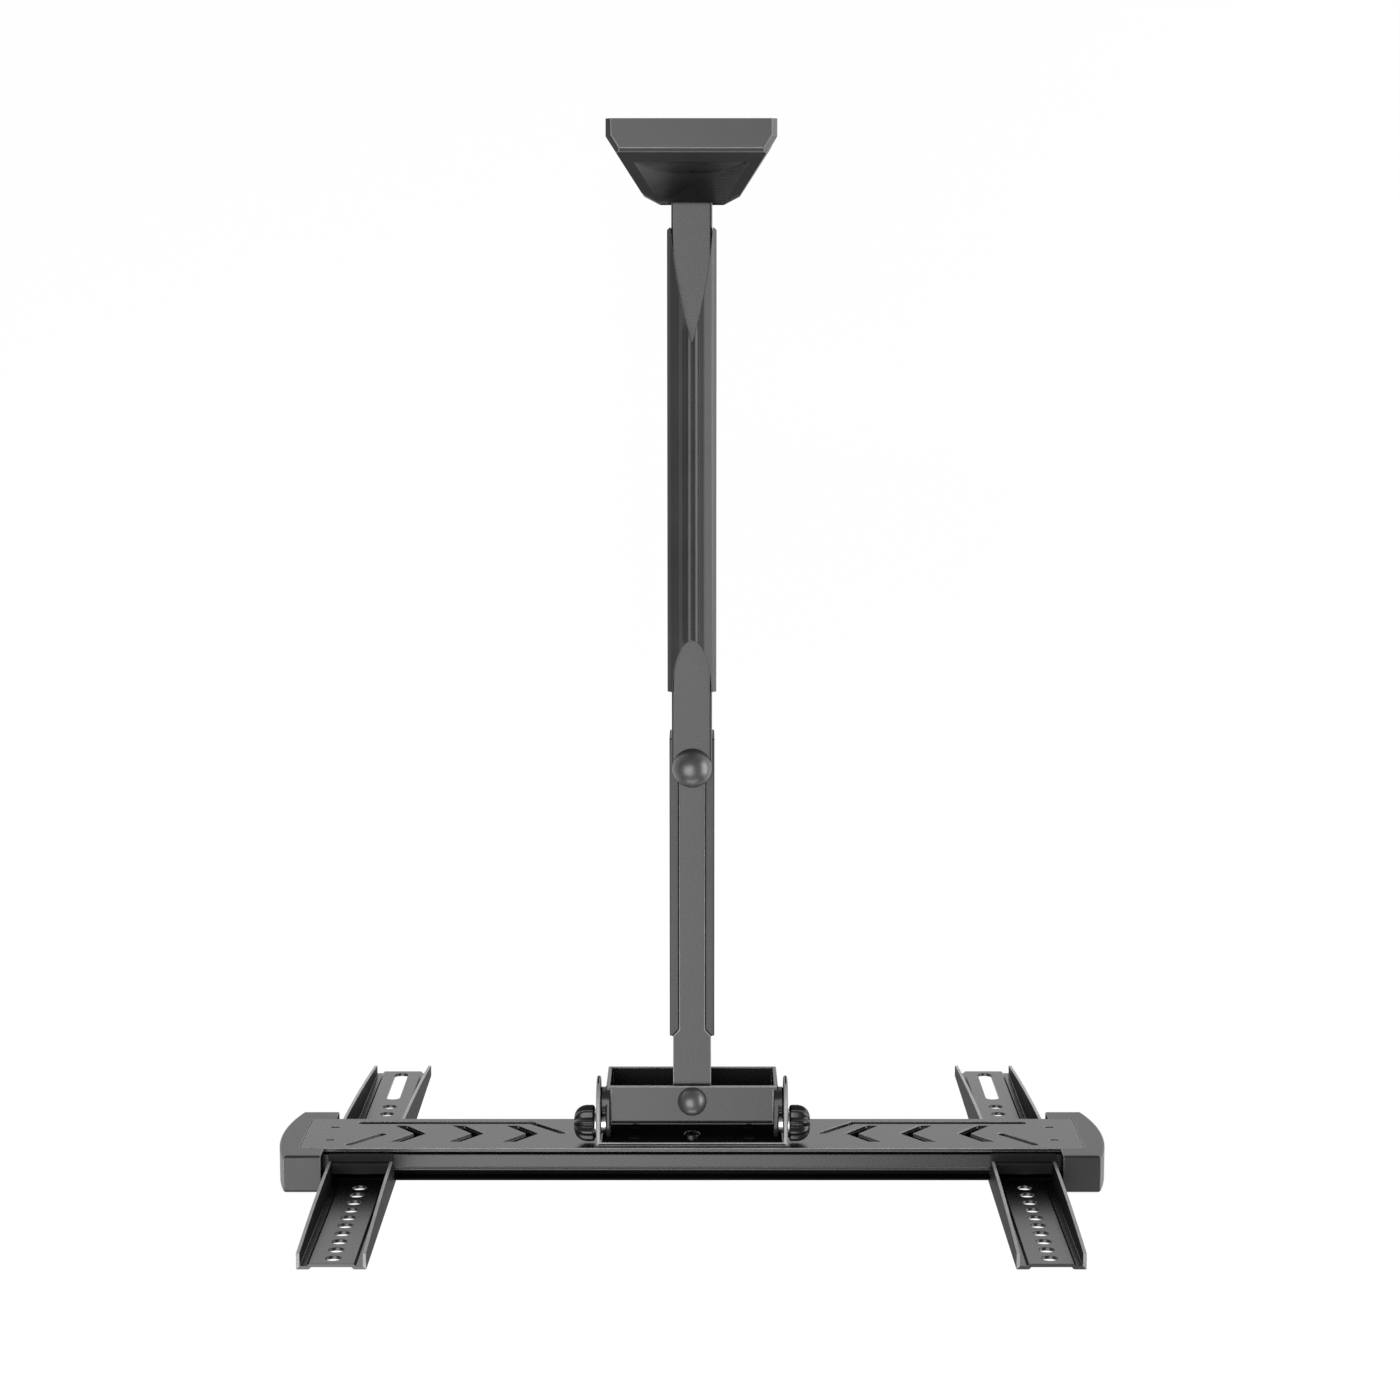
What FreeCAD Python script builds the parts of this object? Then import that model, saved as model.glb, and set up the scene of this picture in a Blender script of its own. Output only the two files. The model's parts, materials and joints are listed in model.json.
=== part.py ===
import FreeCAD, Part
import math
import os

# Full-motion swivel wall mount, in millimetres.
# The wall is the plane Y = 0, the arm reaches out along -Y, +Z is up, X = 0 is the middle plane.
# Z = 0 is the arm's mid-height.

point = FreeCAD.Vector
along_x = point(1, 0, 0)
along_y = point(0, 1, 0)
along_z = point(0, 0, 1)
middle_plane = (point(0, 0, 0), along_x)
arm_plane = (point(0, 0, 0), along_z)
past = 5.0                    # how far a cutting tool runs past the face that it opens

# Clearances
running_gap = 0.05            # round a turning pin, on the radius
rub_gap = 0.1                 # beside a turning face
bolt_gap = 0.2                # round a fixed bolt, on the radius
cover_gap = 0.3               # between a moulded cover and the metal under it
slide_gap = 0.3               # between a rail and the crossbar
swing_gap = 0.9               # between the swinging arm cover and the hinge ears

# Pivots, as distances out from the wall
wall_pivot = 28.0
rear_reach = 350.0            # wall pivot to elbow
front_reach = 204.5           # elbow to head pivot
tilt_reach = 14.5             # head pivot to tilt axis
tilt_height = 20.0            # tilt axis, above the arm's mid-height
bar_offset = 12.0             # tilt axis to the crossbar's back face
elbow_pivot = wall_pivot + rear_reach
head_pivot = elbow_pivot + front_reach
tilt_axis = head_pivot + tilt_reach
bar_back = tilt_axis + bar_offset

# Arms
rear_width = 24.0
front_width = 23.0
front_height = 40.0
tube_side = 2.5
tube_edge = 1.5
fork_plate = 3.0
fork_depth = 26.0
front_plate = 2.5
arm_bolt = 10.0
head_bolt = 8.0
bush_wall = 2.0
bush_rim = 4.0                # the flange stands this much proud of the bush's barrel
bush_flange = 1.4
roof_edge = 1.4               # arm cover's thickness at the low edge of its roof
wall_bush_flange = cover_gap + roof_edge + swing_gap
fork_gap = front_height + 2 * (bush_flange + rub_gap)
rear_height = fork_gap + 2 * fork_plate
hinge_gap = rear_height + 2 * (wall_bush_flange + rub_gap)

# Wall plate, hinge bracket and wall covers
plate_width = 90.8
plate_height = 195.0
plate_thick = 3.0
plate_corner = 6.0
wall_hole = 9.0
wall_hole_span_x = 60.0
wall_hole_span_z = 160.0
ear_thick = 4.0
ear_width = 50.0
ear_nose = 14.0               # ear's reach past the pivot
ear_corner = 8.0
hinge_height = hinge_gap + 2 * ear_thick
wall_cover_skin = 2.2
wall_cover_width = plate_width + 2 * (cover_gap + wall_cover_skin)
wall_cover_top = plate_height / 2 + cover_gap + wall_cover_skin
wall_cover_rim = hinge_height / 2 + cover_gap
wall_cover_ledge = 18.0       # depth at the top
wall_cover_side = 10.0        # depth of the straight side before it tapers
wall_cover_nose = 45.0        # depth at the rim
wall_cover_nose_width = 38.0
nose_corner_width = 10.0      # slanted corner beside the nose
nose_corner_depth = 5.5
wall_cover_bevel = 3.0        # along the sides of the top
wall_cover_front_bevel = 1.7
cover_mouth_gap = 1.5         # beside the arm, where the hood's rim opens over it
cover_mouth_height = 9.0
cover_mouth_round = 3.0
panel_margin = 7.0
panel_depth = 1.0
panel_start = 0.22            # share of the slope above the panel's corners
panel_dip = 0.22              # share of the slope that the panel's top edge sags

# Rear arm covers
arm_cover_side = 2.2
arm_cover_start = 31.0        # from the wall pivot
arm_cover_end = 46.0          # from the elbow
arm_cover_corner = 1.5
crest_place = 7.2             # roof's places are from the middle, and its rises above the eave
crest_rise = 3.2
valley_place = 4.2
valley_rise = 1.7
bead_place = 2.1
bead_rise = 3.4
seam_rise = 2.0
lance_length = 68.0
lance_belly = 1.8
arch_length = 31.0
arch_width = 23.0

# Front arm's spine and side trims
spine_width = 15.6
rebate_depth = 2.0
shoulder = 4.0
trim_skin = 1.9
trim_fit = 0.1
trim_lead = 17.0              # trim's reach past the elbow towards the wall
trim_end = 39.5               # trim's end, short of the head pivot
trim_round = 0.9
trim_drop = 0.55              # trim's top edge, below the spine

# Bolts, nuts and dome caps
wall_head = 16.0
wall_head_height = 6.0
nut_height = 8.0
bolt_end = 0.2                # bolt's end, past its nut
nut_across = 1.6              # nut's width across flats, as a multiple of its bolt
elbow_head = 14.4
elbow_head_height = 5.0
elbow_dome = 23.6
elbow_dome_height = 11.0
pivot_head = 10.4
pivot_head_height = 3.4
pivot_dome = 17.6
pivot_dome_height = 8.0
dome_skin_gap = 0.3

# Swivel bracket and tilt bracket
sheet = 2.5
bracket_width = 104.0
bracket_rear = 9.5            # rear edge, behind the head pivot
bracket_bend = 3.0
bracket_gap = front_height + 2 * (bush_flange + rub_gap)
bracket_height = bracket_gap + 2 * sheet
head_end_gap = 0.5            # between the arm's round end and the bracket's web
front_end = front_width / 2 + head_end_gap
cheek_tab = 8.5               # tab's radius round the tilt axis
cheek_tab_length = 14.0
cheek_boss_gap = 0.4          # between the tab's boss and the tilt bracket's ear
stud = 8.0
spacer = 3.4
spacer_diameter = 12.4
tilt_web_top = 30.0
tilt_web_bottom = -12.0
tilt_ear_rear = 27.0          # ear's reach behind the tilt axis
tilt_ear_bottom = 6.0         # ear's low corner, at the rear
tilt_ear_round = 14.0
tilt_ear_low_round = 8.0
washer = 0.9
washer_diameter = 18.0
knob_diameter = 23.0
knob_thick = 11.0
knob_lobes = 10
knob_scallop = 2.6            # scallop's radius
knob_bevel = 1.1
knob_hub = 13.0
knob_hub_rise = 1.5
level_screw = 6.0
level_screw_head = 10.0
level_screw_head_height = 4.0
level_head_round = 1.3
recess_arm = 3.3
recess_slot = 1.1
recess_depth = 1.7
level_nut_height = 5.0
rivet = 4.0
rivet_head = 8.0
rivet_head_height = 1.4
rivet_span_x = 70.0
rivet_rows = (20.0, -4.0)

# Screen pattern
vesa_width = 400.0
vesa_height = 400.0
rail_width = 39.0

# Crossbar section, as depths in front of its back face
bar_height = 66.0
bar_skin = 2.2
back_groove = 1.8
back_groove_depth = 3.5
strip_drop = 0.7
strip_step = 12.0
step_drop = 1.0
slot_start = 14.6
slot_width = 5.2
slot_depth = 11.0
lip = 1.2
lip_drop = 2.0
bar_depth = slot_start + slot_width + lip
level_nut_width = level_screw * nut_across
level_screw_z = bar_height / 2 - back_groove_depth - bar_skin - level_nut_width / math.sqrt(3) - cover_gap

# End caps
rail_cap_gap = 3.0            # between the end cap and a rail at its widest place
cap_width = 29.5
cap_overlap = 14.5            # bar's reach into its cap
cap_inner = (vesa_width + rail_width) / 2 + rail_cap_gap
cap_outer = cap_inner + cap_width
bar_length = 2 * (cap_inner + cap_overlap)
cap_height = 100.0
cap_bulge = 7.0
cap_front = 1.7
cap_skin = 2.2
cap_fit = 0.15
cap_depth = bar_depth + cap_fit + cap_front
cap_bevel = 2.0

# Cut-outs in the crossbar's back face, for one half
chevron_places = (105.0, 138.5, 174.0)
chevron_width = 21.5
chevron_height = 37.0
chevron_stroke = 8.0
cut_width = 4.6
long_cut = (100.0, cap_inner - 17.5)
long_cut_z = -24.0
long_cut_width = 5.6
inner_cut_end = (80.0, -1.5)
outer_cut = ((cap_inner - 32.5, 1.5), (cap_inner - 14.5, 24.0))
clip_cut = (5.4, 3.2)
clip_inset = 1.5              # clip cut-outs, inside the cap's edge
clip_place = cap_inner - clip_inset
clip_span = 28.0

# Rails
hole_inset = 10.0
rail_length = vesa_height + 2 * hole_inset
rail_top = 189.0
rail_sheet = 2.0
rail_strip = 25.0
rail_emboss = 1.3
flange_top = 6.0
flange_above_bar = 14.0
flange_below_bar = 19.0
flange_bottom = 4.0
flange_bow = 1.4
bar_notch = 3.0               # room that the flanges leave above and below the crossbar
screen_hole = 9.0
upper_hole_pitch = 15.0
upper_hole_count = 10
lower_hole_drop = 300.0       # lower hole row, below the top hole
lower_hole_pitch = 18.0
lower_hole_count = 2
long_slot = 68.0
tooth_width = 3.0
tooth_depth = 6.5
lock_width = 30.0
lock_leg = 16.0
lock_screw = 4.0
lock_head = 7.6
lock_head_height = 8.0
lock_head_round = 0.8
lock_rivet_span = 20.0
lock_head_room = 0.8
slide_pad_rear = 3.0          # pad's rear edge, in front of the crossbar's back face
slide_pad_depth = 11.0
slide_pad_fit = 0.2           # beside the pad's plug, between the flanges
slide_pad_plug = 5.0          # plug's rise above the flanges' lower ends
slide_pad_plug_depth = 6.5


def box(x_range, y_range, z_range):
    """A block between two X, two Y and two Z values."""
    lows = [min(pair) for pair in (x_range, y_range, z_range)]
    spans = [abs(pair[1] - pair[0]) for pair in (x_range, y_range, z_range)]
    return Part.makeBox(*spans, point(*lows))


def rod(diameter, start, direction, length):
    return Part.makeCylinder(diameter / 2, length, start, direction)


def tube(outer, inner, start, direction, length):
    return rod(outer, start, direction, length).cut(rod(inner, start, direction, length))


def prism(corners, sweep):
    """A straight-sided outline, pushed along a vector."""
    wire = Part.makePolygon(list(corners) + [corners[0]])
    return Part.Face(wire).extrude(sweep)


def hexagon(across, centre, height):
    radius = across / math.sqrt(3)
    corners = [centre + point(radius * math.cos(turn), radius * math.sin(turn), 0)
               for turn in (math.radians(60 * step) for step in range(6))]
    return prism(corners, point(0, 0, height))


def stadium(start, end, width, z_range):
    """A bar with round ends, seen from above, between two distances out from the wall."""
    radius = width / 2
    z_low, z_high = min(z_range), max(z_range)
    middle = box((-radius, radius), (-start, -end), z_range)
    ends = [Part.makeCylinder(radius, z_high - z_low, point(0, -place, z_low)) for place in (start, end)]
    return middle.fuse(ends).removeSplitter()


def mirrored(shape, plane):
    return shape.mirror(*plane)


def both_sides(shape, plane):
    return [shape, mirrored(shape, plane)]


def flat_edges(shape, axis_name, value):
    """The edges that lie at one X, Y or Z value."""
    low, high = axis_name.upper() + "Min", axis_name.upper() + "Max"
    return [edge for edge in shape.Edges
            if abs(getattr(edge.BoundBox, low) - value) < 1e-4
            and abs(getattr(edge.BoundBox, high) - value) < 1e-4]


def wall_plate():
    half = plate_width / 2
    plate = box((-half, half), (0, -plate_thick), (-plate_height / 2, plate_height / 2))
    upright = [edge for edge in plate.Edges if edge.BoundBox.YLength > plate_thick / 2]
    plate = plate.makeFillet(plate_corner, upright)
    holes = [rod(wall_hole, point(x, past, z), -along_y, plate_thick + 2 * past)
             for x in (-wall_hole_span_x / 2, wall_hole_span_x / 2)
             for z in (-wall_hole_span_z / 2, wall_hole_span_z / 2)]
    return plate.cut(holes)


def wall_hinge_bracket():
    """A U of plate: a web on the wall plate and an ear over and under the arm."""
    half = ear_width / 2
    nose = wall_pivot + ear_nose
    block = box((-half, half), (-plate_thick, -nose), (-hinge_height / 2, hinge_height / 2))
    corners = [edge for edge in block.Edges
               if edge.BoundBox.ZLength > hinge_height / 2 and edge.BoundBox.YMax < -nose + 1e-4]
    block = block.makeFillet(ear_corner, corners)
    mouth = box((-half - past, half + past), (-plate_thick - ear_thick, -nose - past),
                (-hinge_gap / 2, hinge_gap / 2))
    hole = rod(arm_bolt + 2 * bolt_gap, point(0, -wall_pivot, -hinge_height), along_z, 2 * hinge_height)
    return block.cut([mouth, hole])


def upper_wall_cover():
    """A moulded hood: straight sides that taper to the nose, and a front that slopes out to the rim."""
    half = wall_cover_width / 2
    nose_half = wall_cover_nose_width / 2
    shoulder_half = nose_half + nose_corner_width
    shoulder_depth = wall_cover_nose - nose_corner_depth
    height = wall_cover_top - wall_cover_rim
    right = [(nose_half, -wall_cover_nose), (shoulder_half, -shoulder_depth), (half, -wall_cover_side),
             (half, 0)]
    plan = [(-x, y) for x, y in reversed(right)] + right
    hood = prism([point(x, y, wall_cover_rim) for x, y in plan], point(0, 0, height))
    ledge = point(0, -wall_cover_ledge, wall_cover_top)
    foot = point(0, -wall_cover_nose, wall_cover_rim)
    slope = foot - ledge
    outward = point(0, slope.z, -slope.y).normalize()
    left = point(-half - past, 0, 0)
    front_cut = prism([ledge - slope + left, foot + slope + left, foot + slope + left + outward * height,
                       ledge - slope + left + outward * height], point(2 * (half + past), 0, 0))
    hood = hood.cut(front_cut)
    open_faces = [face for face in hood.Faces
                  if face.BoundBox.YMin > -1e-4 or face.BoundBox.ZMax < wall_cover_rim + 1e-4]
    shell = hood.makeThickness(open_faces, -wall_cover_skin, 1e-3)
    front_rim = [edge for edge in flat_edges(shell, "z", wall_cover_top)
                 if edge.BoundBox.YMax < -wall_cover_ledge + 1e-4]
    shell = shell.makeChamfer(wall_cover_front_bevel, front_rim)
    side_rims = [edge for edge in flat_edges(shell, "z", wall_cover_top)
                 if edge.BoundBox.YMin < -1e-4 and edge.BoundBox.YLength > 1e-4]
    shell = shell.makeChamfer(wall_cover_bevel, side_rims)

    taper = (half - shoulder_half) / (shoulder_depth - wall_cover_side)

    def on_slope(side, share):
        depth = wall_cover_ledge - slope.y * share
        width = half - taper * (depth - wall_cover_side) - panel_margin
        return ledge + slope * share + point(side * width, 0, 0)

    below = 1 + past / slope.Length
    sag = ledge + slope * (panel_start + panel_dip)
    top_edge = Part.Arc(on_slope(-1, panel_start), sag, on_slope(1, panel_start)).toShape()
    sides = Part.makePolygon([on_slope(1, panel_start), on_slope(1, below), on_slope(-1, below),
                              on_slope(-1, panel_start)])
    panel = Part.Face(Part.Wire([top_edge] + sides.Edges))
    panel.translate(outward * past)
    mouth_half = rear_width / 2 + cover_mouth_gap
    mouth_top = wall_cover_rim + cover_mouth_height
    mouth = box((-mouth_half, mouth_half), (-wall_cover_ledge, -wall_cover_nose - past),
                (wall_cover_rim - past, mouth_top))
    crown = [edge for edge in flat_edges(mouth, "z", mouth_top) if edge.BoundBox.XLength < mouth_half]
    mouth = mouth.makeFillet(cover_mouth_round, crown)
    return shell.cut([panel.extrude(-outward * (past + panel_depth)), mouth])


def bolt(shank, head, head_height, top, place):
    """A pivot bolt with a round head on top and its shank down through the nut."""
    centre = point(0, -place, top)
    body = rod(shank, centre, -along_z, 2 * top + nut_height + bolt_end)
    return body.fuse(rod(head, centre, along_z, head_height)).removeSplitter()


def lock_nut(shank, top, place):
    centre = point(0, -place, -top - nut_height)
    nut = hexagon(shank * nut_across, centre, nut_height)
    return nut.cut(rod(shank + 2 * running_gap, centre - along_z * past, along_z, nut_height + 2 * past))


def dome_cap(diameter, height, head, head_height, base, place):
    """A domed cap over a bolt's head, hollowed to clear it."""
    radius = diameter / 2
    curve = (radius ** 2 + height ** 2) / (2 * height)
    ball = Part.makeSphere(curve, point(0, -place, base + height - curve))
    dome = ball.common(rod(2 * diameter, point(0, -place, base), along_z, 2 * height))
    return dome.cut(rod(head + 2 * dome_skin_gap, point(0, -place, base - past), along_z,
                        head_height + dome_skin_gap + past))


def bushes(shank, plate, flange, outside, place):
    """Two flanged bushes, pressed into an arm's upper and lower plates."""
    inner = shank + 2 * running_gap
    outer = shank + 2 * bush_wall
    barrel = tube(outer, inner, point(0, -place, outside - plate), along_z, plate)
    collar = tube(outer + 2 * bush_rim, inner, point(0, -place, outside), along_z, flange)
    return Part.makeCompound(both_sides(barrel.fuse(collar).removeSplitter(), arm_plane))


def bush_hole(shank, place):
    return rod(shank + 2 * bush_wall, point(0, -place, -rear_height), along_z, 2 * rear_height)


def rear_arm_tube():
    """A square tube with round ends; its sides stop short of the elbow to leave a fork."""
    half = rear_height / 2
    body = stadium(wall_pivot, elbow_pivot, rear_width, (-half, half))
    body = body.makeFillet(tube_edge, flat_edges(body, "z", half) + flat_edges(body, "z", -half))
    inner = rear_width / 2 - tube_side
    start, end = -wall_pivot + rear_width, -elbow_pivot - rear_width
    hollow = box((-inner, inner), (start, end), (-fork_gap / 2, fork_gap / 2))
    fork = box((-rear_width, rear_width), (-elbow_pivot + fork_depth, end), (-fork_gap / 2, fork_gap / 2))
    hole = rod(arm_bolt + 2 * bolt_gap, point(0, -elbow_pivot, -rear_height), along_z, 2 * rear_height)
    return body.cut([hollow, fork, hole, bush_hole(arm_bolt, wall_pivot)])


def rear_arm_cover():
    """Upper moulded half: a roof with two crests and a double bead, a lance notch and an arch notch."""
    inner = rear_width / 2 + cover_gap
    outer = inner + arm_cover_side
    ceiling = rear_height / 2 + cover_gap
    eave = ceiling + roof_edge
    right = [(outer, cover_gap / 2), (outer, ceiling - arm_cover_side / 2), (inner, eave),
             (crest_place, eave + crest_rise), (valley_place, eave + valley_rise),
             (bead_place, eave + bead_rise)]
    seam = [(0, eave + seam_rise)]
    left = [(-x, z) for x, z in reversed(right)]
    under = [(-inner, cover_gap / 2), (-inner, ceiling), (inner, ceiling), (inner, cover_gap / 2)]
    start, end = wall_pivot + arm_cover_start, elbow_pivot - arm_cover_end
    outline = [point(x, -start, z) for x, z in right + seam + left + under]
    cover = prism(outline, point(0, start - end, 0))
    corners = [edge for edge in flat_edges(cover, "y", -start)
               if abs(edge.BoundBox.XMin) > outer - 1e-4 and edge.BoundBox.XLength < 1e-4]
    cover = cover.makeChamfer(arm_cover_corner, corners)

    tip = start + lance_length
    belly_x = inner / 2 + lance_belly
    belly_y = (start + tip) / 2
    base = ceiling
    lance = Part.Wire([
        Part.Arc(point(inner, -start, base), point(belly_x, -belly_y, base), point(0, -tip, base)).toShape(),
        Part.Arc(point(0, -tip, base), point(-belly_x, -belly_y, base),
                 point(-inner, -start, base)).toShape(),
        Part.makeLine(point(-inner, -start, base), point(-inner, -start + past, base)),
        Part.makeLine(point(-inner, -start + past, base), point(inner, -start + past, base)),
        Part.makeLine(point(inner, -start + past, base), point(inner, -start, base))])
    arch_half = arch_width / 2
    springs = [point(side * arch_half, -end, base) for side in (-1, 1)]
    oval = Part.Ellipse(point(0, arch_length - end, base), springs[1], point(0, -end, base))
    crown = Part.ArcOfEllipse(oval, -math.pi / 2, math.pi / 2).toShape()
    below = -along_y * past
    legs = Part.makePolygon([springs[0], springs[0] + below, springs[1] + below, springs[1]])
    arch = Part.Wire(Part.__sortEdges__([crown] + legs.Edges))
    rise = point(0, 0, roof_edge + crest_rise + bead_rise + past)
    return cover.cut([Part.Face(lance).extrude(rise), Part.Face(arch).extrude(rise)])


def rebate(side_gap, start, z_range):
    """The corner cut beside the front arm's spine, ending in the shoulder."""
    inner = spine_width / 2 + side_gap
    outer = front_width / 2 + side_gap
    neck = head_pivot - trim_end - side_gap
    corners = [(inner, -start), (outer + past, -start), (outer + past, -neck), (outer, -neck),
               (inner, -neck + shoulder)]
    z_low, z_high = z_range
    return prism([point(x, y, z_low) for x, y in corners], point(0, 0, z_high - z_low))


def front_arm_tube():
    """A tube with a raised spine along its top and bottom, which widens into the neck."""
    half = front_height / 2
    body = stadium(elbow_pivot, head_pivot, front_width, (-half, half))
    inner = front_width / 2 - tube_side
    ceiling = half - rebate_depth - front_plate
    start, end = -elbow_pivot + front_width, -head_pivot - front_width
    hollow = box((-inner, inner), (start, end), (-ceiling, ceiling))
    corner = rebate(0, elbow_pivot - trim_lead, (half - rebate_depth, half + past))
    corners = [cut for side in both_sides(corner, middle_plane) for cut in both_sides(side, arm_plane)]
    return body.cut(corners + [hollow, bush_hole(arm_bolt, elbow_pivot), bush_hole(head_bolt, head_pivot)])


def front_arm_trim():
    """Right-hand side trim: a C that clips into the two rebates."""
    half = front_height / 2
    inner = front_width / 2 + trim_fit
    outer = inner + trim_skin
    start, end = elbow_pivot - trim_lead, head_pivot - trim_end
    top = half - trim_drop
    blank = box((0, outer), (-start, -end), (-top, top))
    rounded = [edge for edge in blank.Edges
               if edge.BoundBox.XMin > outer - 1e-4 and edge.BoundBox.YLength > trim_lead]
    blank = blank.makeFillet(trim_round, rounded)
    lip_low = half - rebate_depth + trim_fit
    core = box((-past, inner), (-start + past, -end - past), (-lip_low, lip_low))
    lips = rebate(trim_fit, start - past, (lip_low, top + past))
    keep = box((inner, outer + past), (-start + past, -end - past), (-top - past, top + past))
    return blank.cut(core).common(keep.fuse(both_sides(lips, arm_plane))).removeSplitter()


def swivel_bracket():
    """A folded box, open to the wall: two flanges, a front web and two cheeks with bossed tilt tabs."""
    half = bracket_width / 2
    rear = head_pivot - bracket_rear
    front = head_pivot + front_end + sheet
    body = box((-half, half), (-rear, -front), (-bracket_height / 2, bracket_height / 2))
    bends = [edge for edge in body.Edges
             if edge.BoundBox.XLength > half and edge.BoundBox.YMax < -front + 1e-4]
    body = body.makeFillet(bracket_bend, bends)
    inside = box((-half + sheet, half - sheet), (-rear + past, -front + sheet),
                 (-bracket_gap / 2, bracket_gap / 2))
    hole = rod(head_bolt + 2 * bolt_gap, point(0, -head_pivot, -bracket_height), along_z, 2 * bracket_height)
    tab_rear = cheek_tab_length - tilt_axis
    tab = box((half - sheet, half), (tab_rear, -tilt_axis),
              (tilt_height - cheek_tab, tilt_height + cheek_tab))
    tab = tab.fuse([rod(2 * cheek_tab, point(half - sheet, y, tilt_height), along_x, sheet)
                    for y in (tab_rear, -tilt_axis)])
    boss_rise = spacer - cheek_boss_gap
    boss = rod(2 * cheek_tab, point(half, tab_rear, tilt_height), along_x, boss_rise)
    room = rod(spacer_diameter + 2 * bolt_gap, point(half, -tilt_axis, tilt_height), along_x, spacer)
    tab = tab.fuse(boss.cut(room))
    return body.cut([inside, hole]).fuse(both_sides(tab, middle_plane)).removeSplitter()


def tilt_stud():
    """Right-hand threaded stud, welded to the cheek."""
    start = bracket_width / 2
    length = spacer + 2 * rub_gap + sheet + washer + rub_gap + knob_thick
    return rod(stud, point(start, -tilt_axis, tilt_height), along_x, length)


def tilt_spacer():
    start = point(bracket_width / 2, -tilt_axis, tilt_height)
    return tube(spacer_diameter, stud + 2 * running_gap, start, along_x, spacer)


ear_inner = bracket_width / 2 + spacer + rub_gap
washer_start = ear_inner + sheet + rub_gap
knob_start = washer_start + washer + rub_gap


def tilt_bracket():
    """A U of sheet on the crossbar's back, with a rounded ear outside each cheek."""
    outer = ear_inner + sheet
    web = box((-outer, outer), (-bar_back, -bar_back + sheet), (tilt_web_bottom, tilt_web_top))
    rear = tilt_ear_rear - tilt_axis
    ear = prism([point(ear_inner, -bar_back, tilt_web_top), point(ear_inner, rear, tilt_web_top),
                 point(ear_inner, rear, tilt_ear_bottom), point(ear_inner, -bar_back, tilt_web_bottom)],
                point(sheet, 0, 0))
    for height, radius in ((tilt_web_top, tilt_ear_round), (tilt_ear_bottom, tilt_ear_low_round)):
        corner = [edge for edge in flat_edges(ear, "z", height) if abs(edge.BoundBox.YMin - rear) < 1e-4
                  and edge.BoundBox.YLength < 1e-4]
        ear = ear.makeFillet(radius, corner)
    body = web.fuse(both_sides(ear, middle_plane))
    hole = rod(stud + 2 * running_gap, point(-outer - past, -tilt_axis, tilt_height), along_x,
               2 * (outer + past))
    holes = [rod(rivet + 2 * bolt_gap, place + along_y * past, -along_y, 2 * past + sheet)
             for place in rivet_places()]
    screw_hole = rod(level_screw + 2 * bolt_gap, point(0, -bar_back + sheet + past, level_screw_z), -along_y,
                     sheet + 2 * past)
    return body.cut(holes + [hole, screw_hole]).removeSplitter()


def rivet_places():
    return [point(x, -bar_back + sheet, z) for x in (-rivet_span_x / 2, rivet_span_x / 2)
            for z in rivet_rows]


def bracket_rivets():
    """Four low rivets that hold the tilt bracket to the crossbar."""
    grip = sheet + bar_skin
    rivets = []
    for place in rivet_places():
        tail = place - along_y * grip
        body = rod(rivet, place, -along_y, grip)
        ends = [rod(rivet_head, place, along_y, rivet_head_height),
                rod(rivet_head, tail, -along_y, rivet_head_height)]
        rivets.append(body.fuse(ends).removeSplitter())
    return Part.makeCompound(rivets)


def cross_recess(place):
    """A cross-shaped driver recess in the face of a screw's head."""
    bars = [box((-x, x), (past, -recess_depth), (-z, z))
            for x, z in ((recess_arm, recess_slot), (recess_slot, recess_arm))]
    cross = bars[0].fuse(bars[1])
    cross.translate(place)
    return cross


def level_screw_solid():
    """Pan-head screw at the top of the tilt bracket."""
    seat = point(0, -bar_back + sheet, level_screw_z)
    length = sheet + bar_skin + level_nut_height
    head = rod(level_screw_head, seat, along_y, level_screw_head_height)
    crown = flat_edges(head, "y", seat.y + level_screw_head_height)
    head = head.makeFillet(level_head_round, crown)
    screw = rod(level_screw, seat, -along_y, length).fuse(head).removeSplitter()
    top = seat + along_y * level_screw_head_height
    return screw.cut(cross_recess(top))


def level_nut():
    seat = point(0, -bar_back - bar_skin, level_screw_z)
    nut = hexagon(level_nut_width, point(0, 0, 0), level_nut_height)
    bore = rod(level_screw + 2 * running_gap, point(0, 0, -past), along_z, level_nut_height + 2 * past)
    nut = nut.cut(bore)
    nut.rotate(point(0, 0, 0), along_x, 90)
    nut.translate(seat)
    return nut


def knob_washer():
    start = point(washer_start, -tilt_axis, tilt_height)
    return tube(washer_diameter, stud + 2 * running_gap, start, along_x, washer)


def tilt_knob():
    """Right-hand clamping knob with a scalloped rim."""
    start = point(knob_start, -tilt_axis, tilt_height)
    body = rod(knob_diameter, start, along_x, knob_thick)
    rims = flat_edges(body, "x", knob_start) + flat_edges(body, "x", knob_start + knob_thick)
    body = body.makeChamfer(knob_bevel, rims)
    radius = knob_diameter / 2 + knob_bevel
    scallops = []
    for lobe in range(knob_lobes):
        turn = 2 * math.pi * lobe / knob_lobes
        place = start + point(-past, radius * math.cos(turn), radius * math.sin(turn))
        scallops.append(rod(knob_scallop * 2, place, along_x, knob_thick + 2 * past))
    hub = rod(knob_hub, start, along_x, knob_thick + knob_hub_rise)
    bore = rod(stud + 2 * running_gap, start - along_x * past, along_x, knob_thick + past)
    return body.cut(scallops).fuse(hub).cut(bore).removeSplitter()


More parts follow.
